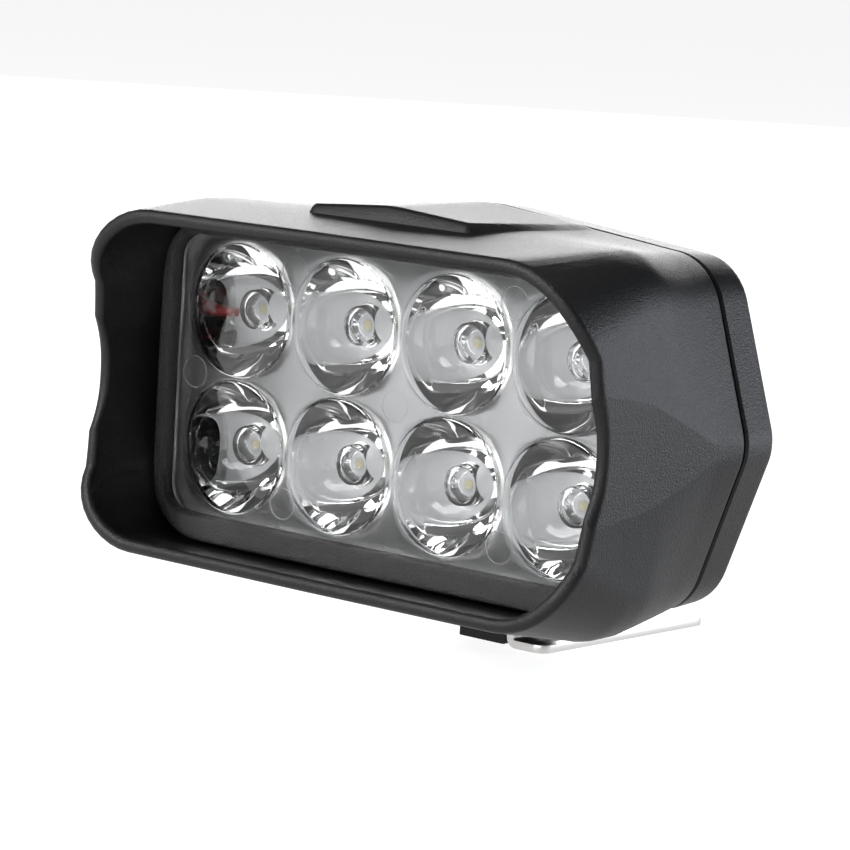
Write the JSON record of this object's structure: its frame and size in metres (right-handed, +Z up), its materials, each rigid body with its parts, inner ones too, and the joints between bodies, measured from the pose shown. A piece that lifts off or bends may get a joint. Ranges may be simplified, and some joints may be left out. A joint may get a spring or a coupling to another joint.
{
  "type": "fog light",
  "caption": "Small rectangular LED fog light with a hooded black housing, clear collimator cups in two rows and a stainless tilt bracket.",
  "frame": {"origin": "centre of the bracket's mounting hole, on the underside of its foot", "axes": "+X across the lamp to its left as it shines, -Y the way it shines, +Z up"},
  "size_m": [0.0954, 0.0832, 0.0654],
  "materials": {
    "housing_black": "fine spark-grained black ABS",
    "frame_black": "coarse grained black ABS",
    "lens_clear": "polished clear acrylic cups in a frosted plate",
    "seal_rubber": "grey silicone",
    "board_white": "white solder mask",
    "led_phosphor": "yellow phosphor dome",
    "cast_aluminium": "as cast",
    "board_green": "green solder mask",
    "copper_winding": "enamelled copper",
    "capacitor_sleeve": "dark sleeve",
    "chip_black": "moulded epoxy",
    "wire_red": "red insulation",
    "wire_black": "black insulation",
    "screw_steel": "zinc plated",
    "bracket_steel": "bright rolled stainless sheet",
    "gland_rubber": "black rubber"
  },
  "bodies": {
    "bracket": {"bracket": "bracket_steel"},
    "lamp": {"front_shell": "housing_black", "rear_shell": "housing_black", "lens_frame": "frame_black", "lens_array": "lens_clear", "lens_gasket": "seal_rubber", "shell_seal": "seal_rubber", "led_board": "board_white", "led_1": "led_phosphor", "led_2": "led_phosphor", "led_3": "led_phosphor", "led_4": "led_phosphor", "led_5": "led_phosphor", "led_6": "led_phosphor", "led_7": "led_phosphor", "led_8": "led_phosphor", "heat_spreader": "cast_aluminium", "board_screw_1": "screw_steel", "board_screw_2": "screw_steel", "driver_board": "board_green", "driver_choke": "copper_winding", "driver_capacitor": "capacitor_sleeve", "driver_chip": "chip_black", "lead_positive": "wire_red", "lead_negative": "wire_black", "cable_gland": "gland_rubber", "case_screw_1": "screw_steel", "case_screw_2": "screw_steel", "case_screw_3": "screw_steel", "case_screw_4": "screw_steel", "pivot_screw": "screw_steel", "pivot_washer": "screw_steel", "pivot_nut": "screw_steel"}
  },
  "joints": [
    {"name": "lamp_tilt", "type": "hinge", "parent": "bracket", "child": "lamp", "pos_m": [0, -0.026, 0.0065], "axis": [1, 0, 0], "range_deg": [-60, 45]}
  ]
}
